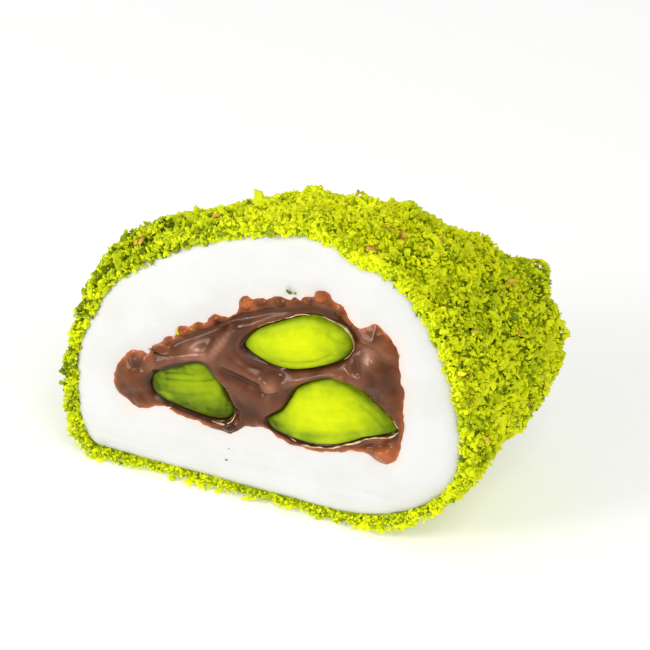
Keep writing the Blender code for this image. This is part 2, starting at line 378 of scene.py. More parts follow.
def edge_loop(count):
    """Return the numbers of a square grid's edge points, in order, clockwise on the face."""
    grid = np.arange(count * count).reshape(count, count)
    return np.concatenate([grid[0, :-1], grid[:-1, -1], grid[-1, :0:-1], grid[:0:-1, 0]])


def closed_from_front(front, rings):
    """Join a square grid of front points to rings behind it. Return points, faces and map."""
    count = front.shape[0]
    edge = edge_loop(count)
    points = np.vstack([front.reshape(-1, 3), *rings])
    grid = quads_between(count, count, closed=False)
    first = count * count
    loop = first + np.arange(len(edge))
    band = np.stack([edge, loop, np.roll(loop, -1), np.roll(edge, -1)], axis=-1)
    behind = quads_between(len(rings), len(edge), first)[:, ::-1]
    cap = (first + (len(rings) - 1) * len(edge) + np.arange(len(edge)))[None, :]
    strip = strip_map(len(rings) + 1, len(edge), 0.0, 0.08)
    lower = strip[: len(edge)][:, [0, 3, 2, 1]]
    upper = strip[len(edge):][:, ::-1]
    turn = np.arange(len(edge)) / len(edge) * 2.0 * math.pi
    disc = 0.04 + 0.03 * np.stack([np.cos(turn), np.sin(turn)], axis=-1)[None]
    faces = [grid, band, behind, cap]
    places = [face_map(points[grid], 0.1), lower, upper, disc]
    return points, faces, places


# ---------------------------------------------------------------- materials

def linear(code):
    """Turn a colour's sRGB hex value to the linear red, green and blue that shaders take."""
    parts = [int(code[i:i + 2], 16) / 255.0 for i in (1, 3, 5)]
    return [p / 12.92 if p <= 0.04045 else ((p + 0.055) / 1.055) ** 2.4 for p in parts]


def per_metre(size):
    """Return the scale that makes a texture's pattern size millimetres across."""
    return 1.0 / (size * MM)


def add_node(tree, kind, settings=None, values=None, links=None, ramp=None):
    """Add a node with its settings, input values, incoming links and, for a ramp, its stops."""
    node = tree.nodes.new("ShaderNode" + kind)
    for name, value in (settings or {}).items():
        setattr(node, name, value)
    for name, value in (values or {}).items():
        node.inputs[name].default_value = value
    for name, source in (links or {}).items():
        tree.links.new(source, node.inputs[name])
    for index, (place, colour) in enumerate(ramp or ()):
        stops = node.color_ramp.elements
        stop = stops[index] if index < 2 else stops.new(place)
        stop.position = place
        stop.color = (*colour, 1.0)
    return node


def new_material(name):
    """Return a new material's node tree with only its surface shader, and that shader."""
    material = bpy.data.materials.new(name)
    material.use_nodes = True
    tree = material.node_tree
    return material, tree, tree.nodes["Principled BSDF"]


def whipped_nougat(settings):
    """Egg-white nougat, whipped and cut with a knife: dense white, satin, lit a little within."""
    material, tree, shader = new_material("whipped_nougat")
    place = add_node(tree, "TexCoord").outputs["Object"]
    # The blade drags the soft face sideways in lines about 0.5 mm apart.
    drawn = add_node(tree, "Mapping", values={"Scale": (0.12, 1.0, 1.0)}, links={"Vector": place})
    drag = add_node(tree, "TexNoise", values={"Scale": per_metre(0.9), "Detail": 3.0},
                    links={"Vector": drawn.outputs["Vector"]})
    # Whipped-in air leaves soft unevenness a few millimetres across.
    cloud = add_node(tree, "TexNoise", values={"Scale": per_metre(5.0), "Detail": 3.0},
                     links={"Vector": place})
    tint = add_node(tree, "ValToRGB", links={"Fac": cloud.outputs["Fac"]},
                    ramp=[(0.35, linear("#dadad6")), (0.62, tuple(settings.colour))])
    # Cocoa fat creeps out of the cream as a peach halo.
    halo = add_node(tree, "Attribute", {"attribute_name": "stain"})
    stained = add_node(tree, "Mix", {"data_type": "RGBA"}, {7: (*settings.stain, 1.0)},
                       {0: halo.outputs["Fac"], 6: tint.outputs["Color"]})
    tree.links.new(stained.outputs[2], shader.inputs["Base Color"])
    grain = add_node(tree, "TexNoise", values={"Scale": per_metre(0.45), "Detail": 2.0},
                     links={"Vector": place})
    fine = add_node(tree, "Bump", values={"Strength": 0.25, "Distance": 0.10 * MM},
                    links={"Height": grain.outputs["Fac"]})
    coarse = add_node(tree, "Bump", values={"Strength": 0.22, "Distance": 0.2 * MM},
                      links={"Height": drag.outputs["Fac"], "Normal": fine.outputs["Normal"]})
    tree.links.new(coarse.outputs["Normal"], shader.inputs["Normal"])
    shader.inputs["Roughness"].default_value = 0.52
    shader.inputs["IOR"].default_value = 1.45
    shader.inputs["Subsurface Weight"].default_value = 0.25
    shader.inputs["Subsurface Radius"].default_value = (1.0, 0.9, 0.75)
    shader.inputs["Subsurface Scale"].default_value = 1.5 * MM
    return material


def chocolate_cream(settings):
    """Milk chocolate and nut cream, soft and oily: wet highlights, red where it is thin, with painted
    sheen on its crests and painted shade in its hollows.
    """
    material, tree, shader = new_material("chocolate_cream")
    place = add_node(tree, "TexCoord").outputs["Object"]
    swirl = add_node(tree, "TexNoise", values={"Scale": per_metre(3.5), "Detail": 2.0,
                                               "Distortion": 0.8}, links={"Vector": place})
    body = add_node(tree, "ValToRGB", links={"Fac": swirl.outputs["Fac"]},
                    ramp=[(0.34, linear("#48240f")), (0.66, tuple(settings.colour))])
    # Painted sheen: the crests of the folds and the sheen patches are painted paler, where highlights
    # fall.
    pale = add_node(tree, "Attribute", {"attribute_name": "pale"})
    sheened = add_node(tree, "Mix", {"data_type": "RGBA"}, {7: (*settings.painted_sheen_colour, 1.0)},
                      {0: pale.outputs["Fac"], 6: body.outputs["Color"]})
    thin = add_node(tree, "Attribute", {"attribute_name": "thin"})
    edged = add_node(tree, "Mix", {"data_type": "RGBA"}, {7: (*settings.thin_colour, 1.0)},
                     {0: thin.outputs["Fac"], 6: sheened.outputs[2]})
    # Painted shade: the cream is darkened in its hollows, in the gaps round the kernels and in the
    # shade patches.
    deep = add_node(tree, "Attribute", {"attribute_name": "deep"})
    colour = add_node(tree, "Mix", {"data_type": "RGBA"}, {7: (*settings.painted_shade_colour, 1.0)},
                      {0: deep.outputs["Fac"], 6: edged.outputs[2]})
    tree.links.new(colour.outputs[2], shader.inputs["Base Color"])
    # Cocoa and sugar grit, drawn at 0.35 mm because the real 0.03 mm would not show.
    grit = add_node(tree, "TexNoise", values={"Scale": per_metre(0.35), "Detail": 2.0},
                    links={"Vector": place})
    ripple = add_node(tree, "TexNoise", values={"Scale": per_metre(1.4), "Detail": 1.0},
                      links={"Vector": place})
    fine = add_node(tree, "Bump", values={"Strength": 0.15, "Distance": 0.05 * MM},
                    links={"Height": grit.outputs["Fac"]})
    soft = add_node(tree, "Bump", values={"Strength": 0.15, "Distance": 0.25 * MM},
                    links={"Height": ripple.outputs["Fac"], "Normal": fine.outputs["Normal"]})
    tree.links.new(soft.outputs["Normal"], shader.inputs["Normal"])
    shine = add_node(tree, "MapRange", values={"From Min": 0.3, "From Max": 0.7, "To Min": 0.17,
                                               "To Max": 0.26},
                     links={"Value": swirl.outputs["Fac"]})
    tree.links.new(shine.outputs["Result"], shader.inputs["Roughness"])
    shader.inputs["IOR"].default_value = 1.47
    shader.inputs["Specular IOR Level"].default_value = 0.42
    shader.inputs["Specular Tint"].default_value = (1.0, 0.84, 0.72, 1.0)
    shader.inputs["Subsurface Weight"].default_value = 0.04
    shader.inputs["Subsurface Radius"].default_value = (1.0, 0.35, 0.2)
    shader.inputs["Subsurface Scale"].default_value = 0.6 * MM
    return material


def cut_kernel(settings):
    """Shelled pistachio, cut lengthwise: waxy yellow-green flesh, darker green to its edge."""
    material, tree, shader = new_material("cut_pistachio")
    # Along, across and through the kernel, so that the streaks run its length.
    grain = add_node(tree, "Attribute", {"attribute_name": "grain"}).outputs["Vector"]
    drawn = add_node(tree, "Mapping", values={"Scale": (0.16, 1.0, 1.0)}, links={"Vector": grain})
    # Cell rows are 0.05 mm wide, drawn as streaks of 0.8 mm.
    streaks = add_node(tree, "TexNoise", values={"Scale": 1.0 / 0.8, "Detail": 4.0},
                       links={"Vector": drawn.outputs["Vector"]})
    mottle = add_node(tree, "TexNoise", values={"Scale": 1.0 / 1.2, "Detail": 3.0},
                      links={"Vector": grain})
    ripe = add_node(tree, "Attribute", {"attribute_name": "ripe"}).outputs["Fac"]
    streaked = add_node(tree, "MapRange", values={"From Min": 0.3, "From Max": 0.7,
                                                  "To Min": -0.05, "To Max": 0.05},
                        links={"Value": streaks.outputs["Fac"]})
    mottled = add_node(tree, "MapRange", values={"From Min": 0.3, "From Max": 0.7,
                                                 "To Min": -0.05, "To Max": 0.05},
                       links={"Value": mottle.outputs["Fac"]})
    first = add_node(tree, "Math", {"operation": "ADD"},
                     links={0: ripe, 1: streaked.outputs["Result"]})
    both = add_node(tree, "Math", {"operation": "ADD"},
                    links={0: first.outputs["Value"], 1: mottled.outputs["Result"]})
    flesh = add_node(tree, "ValToRGB", links={"Fac": both.outputs["Value"]},
                     ramp=[(0.0, linear("#4a5a00")), (1.0, tuple(settings.bright)),
                           (0.16, linear("#728a02")), (0.42, tuple(settings.green)),
                           (0.75, linear("#c6d602"))])
    tree.links.new(flesh.outputs["Color"], shader.inputs["Base Color"])
    groove = add_node(tree, "Bump", values={"Strength": 0.5, "Distance": 0.15 * MM},
                      links={"Height": streaks.outputs["Fac"]})
    tree.links.new(groove.outputs["Normal"], shader.inputs["Normal"])
    shader.inputs["Roughness"].default_value = 0.36
    shader.inputs["IOR"].default_value = 1.47
    shader.inputs["Specular IOR Level"].default_value = 0.12
    shader.inputs["Subsurface Weight"].default_value = 0.15
    shader.inputs["Subsurface Radius"].default_value = (0.8, 1.0, 0.2)
    shader.inputs["Subsurface Scale"].default_value = 0.8 * MM
    return material


def seed_skin(name, inside, outside, roughness):
    """Papery pistachio skin, dried on: dull, streaked from tan to a redder brown."""
    material, tree, shader = new_material(name)
    place = add_node(tree, "TexCoord").outputs["Object"]
    veins = add_node(tree, "TexNoise", values={"Scale": per_metre(0.8), "Detail": 4.0},
                     links={"Vector": place})
    colour = add_node(tree, "ValToRGB", links={"Fac": veins.outputs["Fac"]},
                      ramp=[(0.38, linear(inside)), (0.62, linear(outside))])
    tree.links.new(colour.outputs["Color"], shader.inputs["Base Color"])
    crease = add_node(tree, "Bump", values={"Strength": 0.5, "Distance": 0.08 * MM},
                      links={"Height": veins.outputs["Fac"]})
    tree.links.new(crease.outputs["Normal"], shader.inputs["Normal"])
    shader.inputs["Roughness"].default_value = roughness
    return material


def crushed_pistachio(settings):
    """Pistachio crushed to crumbs: matt and oily green, each crumb of its own ripeness."""
    material, tree, shader = new_material("crushed_pistachio")
    place = add_node(tree, "TexCoord").outputs["Object"]
    tone = add_node(tree, "Attribute", {"attribute_name": "tone"}).outputs["Fac"]
    # Broken cell walls vary within a crumb, at about 0.25 mm.
    grain = add_node(tree, "TexNoise", values={"Scale": per_metre(0.3), "Detail": 2.0},
                     links={"Vector": place})
    varied = add_node(tree, "MapRange", values={"From Min": 0.3, "From Max": 0.7,
                                                "To Min": -0.1, "To Max": 0.1},
                      links={"Value": grain.outputs["Fac"]})
    both = add_node(tree, "Math", {"operation": "ADD"},
                    links={0: tone, 1: varied.outputs["Result"]})
    colour = add_node(tree, "ValToRGB", links={"Fac": both.outputs["Value"]},
                      ramp=[(0.0, linear("#566800")), (1.0, tuple(settings.bright)),
                            (0.18, tuple(settings.dark)), (0.45, tuple(settings.middle)),
                            (0.75, linear("#e2ec08"))])
    tree.links.new(colour.outputs["Color"], shader.inputs["Base Color"])
    rough = add_node(tree, "Bump", values={"Strength": 0.4, "Distance": 0.12 * MM},
                     links={"Height": grain.outputs["Fac"]})
    tree.links.new(rough.outputs["Normal"], shader.inputs["Normal"])
    shader.inputs["Roughness"].default_value = 0.62
    shader.inputs["Specular IOR Level"].default_value = 0.2
    return material


# ---------------------------------------------------------------- settings

def size_setting(name, description, default):
    """Return a length setting, given in millimetres and kept in metres."""
    return FloatProperty(name=name, description=description, default=default * MM, min=0.0,
                         unit="LENGTH", precision=4)


def colour_setting(name, description, code):
    """Return a colour setting whose default is an sRGB hex value."""
    return FloatVectorProperty(name=name, description=description, default=linear(code),
                               size=3, min=0.0, max=1.0, subtype="COLOR")


class NougatSettings(bpy.types.PropertyGroup):
    """Sizes and colours of the white nougat."""
    colour: colour_setting("Nougat", "Colour of the whipped nougat", "#dedede")
    stain: colour_setting("Stain", "Colour of the fat halo round the cream", "#f4d8c6")
    rim: size_setting("Rim", "How broadly the cut edge rounds back", 2.2)
    bulge: size_setting("Bulge", "How far the soft face swells between rim and cream", 0.35)
    halo: size_setting("Halo", "How far the stain creeps from the cream", 0.6)


class CreamSettings(bpy.types.PropertyGroup):
    """Sizes and colours of the chocolate cream."""
    colour: colour_setting("Cream", "Colour of thick cream", "#703b1b")
    thin_colour: colour_setting("Thin cream", "Colour where the cream thins out", "#bc6430")
    # Painted sheen colour, mixed in on the crests of the folds and in the sheen patches
    painted_sheen_colour: colour_setting("Pale cream", "Colour on the crests of the folds", "#9c6852")
    # Painted shade colour, for the cream's hollows, the gaps round the kernels and the shade patches
    painted_shade_colour: colour_setting("Deep cream", "Colour in the cream's hollows", "#34190f")
    film: size_setting("Film", "How broad its thin, smeared edge is", 0.32)
    proud: size_setting("Proud", "How far the cream swells out of the cut", 0.25)
    ripple: size_setting("Ripple", "Height of the soft ripples between the folds", 0.20)


class KernelSettings(bpy.types.PropertyGroup):
    """Sizes and colours of the three cut kernels."""
    bright: colour_setting("Flesh", "Colour in the middle of a kernel", "#dfe804")
    green: colour_setting("Green", "Colour towards a kernel's edge", "#9cb204")
    dome: size_setting("Dome", "How far a kernel swells out of the cut", 0.75)


class CoatSettings(bpy.types.PropertyGroup):
    """Sizes and colours of the crushed pistachio."""
    bright: colour_setting("Bright crumb", "Colour of the ripest crumbs", "#f0f40c")
    middle: colour_setting("Middle crumb", "Colour of most crumbs", "#c4d206")
    dark: colour_setting("Dark crumb", "Colour of the greenest crumbs", "#8a9c04")
    clumps: size_setting("Clumps", "How high the crumbs heap up in clumps", 0.58)
    seed: IntProperty(name="Seed", description="Which scatter of crumbs", default=11, min=0)


class StageSettings(bpy.types.PropertyGroup):
    """Floor, light and camera."""
    floor: colour_setting("Floor", "Colour of the floor", "#f6f6f4")
    azimuth: FloatProperty(name="Azimuth", description="Camera's turn from the cut towards +X",
                           default=math.radians(18.0), subtype="ANGLE")
    elevation: FloatProperty(name="Elevation", description="Camera's height over the floor",
                             default=math.radians(28.0), subtype="ANGLE")
    roll: FloatProperty(name="Roll", description="Clockwise lean of the picture",
                        default=math.radians(6.0), subtype="ANGLE")


SETTINGS = {
    "delight_nougat": NougatSettings,
    "delight_cream": CreamSettings,
    "delight_kernels": KernelSettings,
    "delight_coat": CoatSettings,
    "delight_stage": StageSettings,
}


# ---------------------------------------------------------------- nougat

NOUGAT_POINTS = 420            # round the loaf
NOUGAT_RINGS = 76              # from the cream to the rim
CHANNEL_SHRINK = 1.2           # how far the white runs in under the cream's edge
SUNK_EDGE = 2.0                # how deep it lies there


def channel_outline(count):
    """Return the outline that the nougat's hollow has, hidden behind the cream."""
    middle = np.array(CREAM_MIDDLE)
    turn = -np.arange(count) / count * 2.0 * math.pi + math.pi
    edge = outline_reach(smooth_loop(CREAM_EDGE, 600), middle)
    nearby = [edge(turn + shift) for shift in np.linspace(-0.12, 0.12, 9)]
    reach = np.min(nearby, axis=0) - CHANNEL_SHRINK
    return np.stack([np.cos(turn), np.sin(turn)], axis=-1) * reach[:, None] + middle


def build_nougat(settings):
    """Make the nougat: its cut face, soft rim, the hollow for the cream and its hidden back."""
    count = NOUGAT_POINTS
    inset = COAT_THICKNESS + CLEARANCE / 2.0
    outer = loaf_rings(inset, [0.0], count)[0][:, [0, 2]] - ORIGIN[[0, 2]]
    middle = np.array(CREAM_MIDDLE)
    turn = np.arctan2(*(outer - middle).T[::-1])
    hollow = channel_outline(720)
    reach = outline_reach(hollow, middle)(turn)
    inner = np.stack([np.cos(turn), np.sin(turn)], axis=-1) * reach[:, None] + middle
    share = np.linspace(0.0, 1.0, NOUGAT_RINGS)[:, None, None]
    flat = inner + (outer - inner) * (1.0 - (1.0 - share) ** 1.25)
    points = flat.reshape(-1, 2)

    to_rim = -distance_outside(points, outer)
    to_cream = distance_outside(points, smooth_loop(CREAM_EDGE, 320))
    rim = settings.rim / MM
    fall = np.clip(1.0 - to_rim / rim, 0.0, 1.0)
    proud = settings.bulge / MM * eased(to_rim, 0.0, 7.0) * eased(to_cream, 0.0, 3.0)
    proud -= 1.1 * (1.0 - np.sqrt(np.maximum(1.0 - fall ** 2, 0.0)))
    proud += 0.16 * lumps(points, 7.0, 1) + 0.05 * lumps(points, 2.2, 2)
    dragged = points * [0.14, 1.0]
    low_down = eased(-points[:, 1], -9.0, -3.0)
    proud += (0.03 + 0.07 * low_down) * lumps(dragged, 0.8, 3) * eased(to_rim, 0.4, 2.0)
    proud -= SUNK_EDGE * eased(-to_cream, 0.25, CHANNEL_SHRINK)
    face = on_face(points, proud).reshape(NOUGAT_RINGS, count, 3)

    wall_depths = np.linspace(CREAM_DEPTH, SUNK_EDGE + 0.5, 6)
    wall = [on_face(inner, -depth) + [AXIS_LEAN * depth, 0.0, 0.0] for depth in wall_depths]
    sides = loaf_rings(inset + 0.7, ring_fractions(0.06, 32), count)
    sides = sides[sides[:, 0, 1] > face[-1, :, 1].max() + 0.3]
    rings = np.concatenate([wall, face, sides])
    faces = quads_between(len(rings), count)
    on_front = slice(len(wall) * count, (len(wall) + NOUGAT_RINGS - 1) * count)
    places = strip_map(len(rings), count, 0.0, 0.14)
    places[on_front] = face_map(rings.reshape(-1, 3)[faces[on_front]], 0.16)
    ends = np.array([np.arange(count)[::-1], np.arange(count) + (len(rings) - 1) * count])
    turn = np.arange(count) / count * 2.0 * math.pi
    disc = 0.05 + 0.04 * np.stack([np.cos(turn), np.sin(turn)], axis=-1)

    uneven = 0.6 + 0.9 * lumps(points, 2.4, 4) + 0.4 * lumps(points, 0.9, 5)
    upper = 0.75 + 0.5 * eased(points[:, 0], 4.0, 9.0) * eased(points[:, 1], 20.0, 25.0)
    stain = np.exp(-np.maximum(to_cream, 0.0) / (settings.halo / MM)) * uneven * upper
    stain = np.concatenate([np.zeros(len(wall) * count), np.clip(stain, 0.0, 1.0),
                            np.zeros(len(sides) * count)])
    piece = make_piece("nougat_loaf", rings.reshape(-1, 3), [faces, ends],
                       [places, np.array([disc, disc])], whipped_nougat(settings),
                       "whipped_nougat", stain=stain)
    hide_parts("nougat")
    return piece


# ---------------------------------------------------------------- chocolate cream

CREAM_MIDDLE = (-0.5, 15.6)
CREAM_GRID = 208               # points along each side of the front's grid
CREAM_SKIRT = 0.9              # how far the cream runs on, hidden, under the nougat's face
CREAM_SUNK = 1.7               # how deep its hidden edge lies


def kernel_distances(points):
    """Return each point's distance outside the kernels, negative inside, blended between two."""
    loops = [smooth_loop(outline, 160) for outline in KERNEL_OUTLINES.values()]
    blend = 0.22
    near = np.array([distance_outside(points, loop) for loop in loops])
    return -blend * np.log(np.exp(-near / blend).sum(axis=0))


def spread_of(points, patches):
    """Return how far each point is covered by the strongest of some soft round patches."""
    cover = np.zeros(len(points))
    for x, z, radius, share in patches:
        away = np.hypot(*(points - (x, z)).T) / radius
        cover = np.maximum(cover, share * np.exp(-away ** 2))
    return cover


def cream_height(points, settings):
    """Return how proud of the cut the cream stands, how thin it is there, and its painted shade and
    painted sheen.
    """
    ragged = points + 0.26 * np.stack([lumps(points, 1.5, 6), lumps(points, 1.5, 7)], axis=-1)
    ragged += 0.14 * np.stack([lumps(points, 0.6, 8), lumps(points, 0.6, 9)], axis=-1)
    outside = distance_outside(ragged, smooth_loop(CREAM_EDGE, 320))
    blobs = np.zeros(len(points))
    for x, z, radius, rise in CREAM_BLOBS:
        away = np.hypot(*(ragged - (x, z)).T)
        outside = -0.35 * np.logaddexp(-outside / 0.35, (radius - away) / 0.35)
        blobs += rise * np.maximum(1.0 - (away / radius) ** 2, 0.0) ** 1.5
    swell = np.clip((0.75 - outside) / 1.5, 0.0, 1.0)
    proud = settings.proud / MM
    height = (CREAM_SUNK + proud) * np.sqrt(1.0 - (1.0 - swell) ** 2) - CREAM_SUNK
    height += blobs
    thick = eased(-outside, 0.0, 0.7)
    pale, deep = np.zeros((2, len(points)))
    for width, rise, line in CREAM_FOLDS:
        away = distance_to_line(points, smooth_line(line, 8 * len(line)))
        ridge = thick * np.exp(-(away / width) ** 2)
        height += rise * ridge
        # Painted sheen on the crest of each fold
        pale = np.maximum(pale, rise / (1.0 + width) * ridge)
    for width, fall, line in CREAM_HOLLOWS:
        away = distance_to_line(points, smooth_line(line, 8 * len(line)))
        hollow = thick * np.exp(-(away / width) ** 2)
        height -= fall * hollow
        # Painted shade in the hollow
        deep = np.maximum(deep, fall * hollow ** 2)
    ripple = settings.ripple / MM
    height += ripple * lumps(points, 2.8, 10) + 0.25 * ripple * lumps(points, 1.2, 11)
    kernel = kernel_distances(points)
    height += 0.12 * np.exp(-((kernel - 0.75) / 0.45) ** 2)
    height -= 0.40 * thick * np.exp(-(np.maximum(kernel, 0.0) / 0.20) ** 2)
    height -= 1.6 * eased(-kernel, 0.05, 0.7)
    # Painted shade in the gaps round the kernels and in the shade patches
    deep = np.maximum(deep, 0.8 * np.exp(-(np.maximum(kernel, 0.0) / 0.25) ** 2))
    deep = np.maximum(1.25 * deep, spread_of(points, CREAM_SHADES))
    # Painted sheen in the sheen patches
    pale = np.maximum(pale, spread_of(points, CREAM_PAINTED_SHEENS))
    height = np.minimum(height, 1.0 + 0.4 * np.tanh((height - 1.0) / 0.4))
    smeared = np.exp(-np.maximum(-outside, 0.0) / settings.film * MM)
    smeared = np.maximum(smeared, spread_of(points, CREAM_SMEARS))
    thin = smeared * (0.85 + 0.45 * lumps(points, 1.7, 12) + 0.35 * lumps(points, 0.7, 13))
    return height, *np.clip([thin, deep, pale], 0.0, 1.0)


def build_cream(settings):
    """Make the chocolate cream: a squeezed, folded front and a core that runs into the loaf."""
    middle = np.array(CREAM_MIDDLE)
    outline = grown(smooth_loop(CREAM_EDGE, 360), CREAM_SKIRT)
    flat, _ = filled(outline, middle, CREAM_GRID)
    points = flat.reshape(-1, 2)
    height, *shares = cream_height(points, settings)
    front = on_face(points, height).reshape(CREAM_GRID, CREAM_GRID, 3)
    edge = front.reshape(-1, 3)[edge_loop(CREAM_GRID)]
    core = on_face(middle)
    rings = []
    for share in (0.0, 0.25, 0.5, 0.75, 0.92, 0.98):
        depth = SUNK_EDGE + 0.6 + (CREAM_DEPTH - SUNK_EDGE - 0.8) * share
        size = 0.86 * (1.0 - 0.25 * share * share) * (1.0 - share ** 9) ** 0.4
        ring = core + (edge - core) * size
        ring[:, 0] += AXIS_LEAN * depth
        ring[:, 1] = ORIGIN[1] + depth
        rings.append(ring)
    surface = closed_from_front(front, rings)
    behind = np.zeros(len(rings) * len(edge))
    shares = [np.concatenate([share, behind]) for share in shares]
    piece = make_piece("cream_filling", *surface, chocolate_cream(settings), "chocolate_cream",
                       **dict(zip(("thin", "deep", "pale"), shares)))
    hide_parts("chocolate_cream")
    return piece


# ---------------------------------------------------------------- kernels

KERNEL_GRID = 84
# Each kernel: turn of its long side from level in degrees, ripeness at its edge and in its
# bright middle, where that middle lies (along and across, as shares of its half length and
# half width), its dome, how far its upper side stands out and its lower side back
KERNELS = {
    "pistachio_top": (16.0, (0.46, 0.85), (0.05, 0.05), 1.0, 0.0),
    "pistachio_right": (13.0, (0.46, 0.84), (-0.02, 0.16), 1.15, 0.0),
    "pistachio_left": (12.0, (0.14, 0.46), (0.10, 0.0), 0.8, 0.60),
}
# Greener patches on the kernels: x, z, radius, depth
KERNEL_PATCHES = [
    (2.0, 9.7, 1.8, 0.40), (5.6, 8.9, 1.6, 0.26), (13.8, 12.3, 1.6, 0.24), (10.8, 10.8, 1.2, 0.14),
    (-8.0, 8.8, 2.4, 0.34), (-5.0, 9.0, 1.8, 0.22), (-13.3, 10.9, 1.7, 0.14),
    (-10.6, 13.8, 1.2, 0.14), (-2.9, 18.2, 1.0, 0.20), (0.6, 17.2, 1.4, 0.18),
    (8.2, 20.2, 1.3, 0.22), (-0.6, 21.0, 1.0, 0.08),
]
# Darker creases along a kernel: width, depth and the line each follows
KERNEL_CREASES = [
    (0.16, 0.15, [(-11.8, 12.7), (-10.8, 13.0), (-9.6, 13.3), (-8.4, 13.5)]),
    (0.16, 0.16, [(-11.6, 12.0), (-9.6, 12.4), (-7.6, 12.9), (-6.2, 13.3)]),
    (0.30, 0.06, [(-12.6, 10.2), (-9.6, 10.6), (-6.4, 11.6)]),
    (0.22, 0.16, [(1.6, 17.9), (3.8, 18.3), (5.8, 19.2), (7.3, 20.4)]),
    (0.22, 0.14, [(6.6, 22.6), (7.6, 22.0), (8.6, 21.9)]),
    (0.35, 0.10, [(3.2, 9.4), (6.4, 9.9), (9.4, 10.9), (12.4, 12.2)]),
    (0.25, 0.14, [(11.2, 15.0), (12.6, 14.2), (13.8, 13.2)]),
]


def build_kernel(name, material, settings):
    """Make one kernel: a low, lengthwise-grooved dome with a rounded edge and a hidden back."""
    angle, (unripe, ripest), (off_along, off_across), dome_share, tip = KERNELS[name]
    outline = smooth_loop(KERNEL_OUTLINES[name], 240)
    middle = outline.mean(axis=0)
    flat, out = filled(outline, middle, KERNEL_GRID)
    points, out = flat.reshape(-1, 2), out.ravel()
    turn = math.radians(angle)
    along = (points - middle) @ [math.cos(turn), math.sin(turn)]
    across = (points - middle) @ [-math.sin(turn), math.cos(turn)]
    seed = 20 + 3 * list(KERNELS).index(name)
    grain = np.stack([along, across, np.full(len(along), seed * 7.0)], axis=-1)
    drawn = grain * [0.14, 1.0, 1.0]
    dome = settings.dome / MM * dome_share
    proud = dome * (1.0 - out ** 2.4) - 0.40 * eased(out, 0.90, 1.0) + 0.12
    proud += (0.06 * lumps(drawn, 1.1, seed) + 0.03 * lumps(drawn, 0.5, seed + 1)) * (1 - out ** 4)
    long_way, cross_way = np.ptp(along) / 2.0, np.ptp(across) / 2.0
    proud += tip * across / cross_way
    spread = (along / long_way - off_along) ** 2 / 0.45 + (across / cross_way - off_across) ** 2 / 0.5
    ripe = unripe + (ripest - unripe) * np.exp(-spread ** 1.1)
    blotched = 0.10 * lumps(points, 1.6, seed + 2) + 0.08 * lumps(points, 0.7, seed + 60)
    ripe += blotched * (0.35 + 0.65 * eased(out, 0.3, 0.8)) - 0.28 * eased(out, 0.76, 1.0)
    ripe -= spread_of(points, KERNEL_PATCHES)
    for width, depth, line in KERNEL_CREASES:
        crease = np.exp(-(distance_to_line(points, smooth_line(line, 30)) / width) ** 2)
        proud -= 0.5 * depth * crease
        # Each crease is painted darker as well as sunk.
        ripe -= depth * crease
    front = on_face(points, proud).reshape(KERNEL_GRID, KERNEL_GRID, 3)
    edge = front.reshape(-1, 3)[edge_loop(KERNEL_GRID)]
    core = on_face(middle)
    rings = []
    for step in range(1, 9):
        swing = 0.5 * math.pi * step / 8.4
        ring = core + (edge - core) * math.cos(swing) ** 0.5
        ring[:, 1] = edge[:, 1] + (KERNEL_DEPTH - 0.5) * math.sin(swing)
        rings.append(ring)
    behind = len(rings) * len(edge)
    ripe = np.concatenate([np.clip(ripe, 0.02, 1.0), np.full(behind, 0.2)])
    grain = np.concatenate([grain, np.zeros((behind, 3))])
    surface = closed_from_front(front, rings)
    piece = make_piece(name.replace("pistachio", "kernel"), *surface, material,
                       "pistachio_kernel", ripe=ripe, grain=grain)
    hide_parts(name)
    return piece


# Skin left along the kernels' edges: its breadth and the line it follows
SKIN_STRIPS = [
    (0.20, [(12.0, 16.1), (12.8, 15.8), (14.0, 14.9), (15.1, 13.9), (15.8, 12.8)]),
    (0.22, [(15.8, 12.8), (15.0, 11.9), (13.4, 11.3), (12.4, 11.0), (11.4, 10.3), (9.8, 9.3),
            (8.0, 8.5), (6.2, 8.1), (4.7, 8.0), (3.4, 8.4)]),
    (0.16, [(-1.8, 21.0), (-0.6, 21.9), (0.4, 22.5), (1.4, 23.1), (2.8, 23.8), (4.2, 24.2)]),
    (0.14, [(5.4, 24.3), (6.5, 24.2), (7.7, 23.9), (8.9, 23.2), (9.6, 22.2), (9.4, 20.9),
            (8.7, 19.9)]),
    (0.15, [(-6.0, 7.9), (-4.7, 7.9), (-3.8, 8.4), (-3.4, 9.5)]),
]


